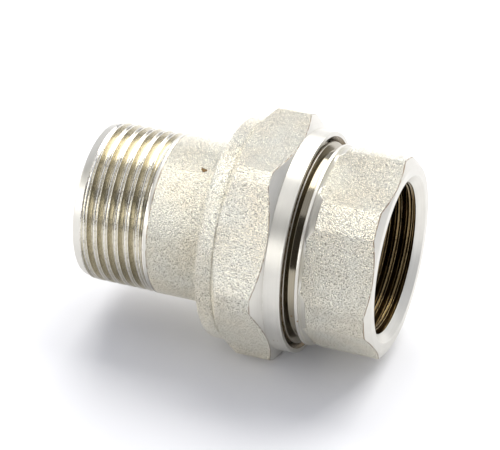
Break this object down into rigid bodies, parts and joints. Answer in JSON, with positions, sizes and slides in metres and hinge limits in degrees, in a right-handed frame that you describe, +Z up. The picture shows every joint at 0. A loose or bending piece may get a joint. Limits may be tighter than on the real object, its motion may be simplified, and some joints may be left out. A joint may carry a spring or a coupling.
{
  "type": "union fitting",
  "caption": "Straight metal pipe union: threaded male tailpiece, hexagon union nut and hexagon body with a threaded socket.",
  "frame": {"origin": "on the pipe axis, halfway between the two end faces", "axes": "+X along the pipe axis towards the female end, +Z up, a flat of the union nut facing down"},
  "size_m": [0.0514, 0.0406, 0.0368],
  "materials": {
    "tailpiece_nickel": "satin nickel plate",
    "nut_nickel": "shot-blasted nickel plate",
    "body_nickel": "shot-blasted nickel plate",
    "washer_rubber": "matt"
  },
  "bodies": {
    "body": {"female_body": "body_nickel"},
    "washer": {"sealing_washer": "washer_rubber"},
    "tailpiece": {"male_tailpiece": "tailpiece_nickel"},
    "nut": {"union_nut": "nut_nickel"}
  },
  "joints": [
    {"name": "union_travel", "type": "slide", "parent": "body", "child": "washer", "axis": [-1, 0, 0], "range_m": [0, 0.0058]},
    {"name": "tailpiece_swivel", "type": "hinge", "parent": "washer", "child": "tailpiece", "pos_m": [0, 0, 0], "axis": [-1, 0, 0], "continuous": true},
    {"name": "nut_turn", "type": "hinge", "parent": "washer", "child": "nut", "pos_m": [0, 0, 0], "axis": [-1, 0, 0], "range_deg": [0, 900]}
  ],
  "couplings": [
    {"joint": "union_travel", "follows": "nut_turn", "m_per_rad": 0.00036749}
  ]
}
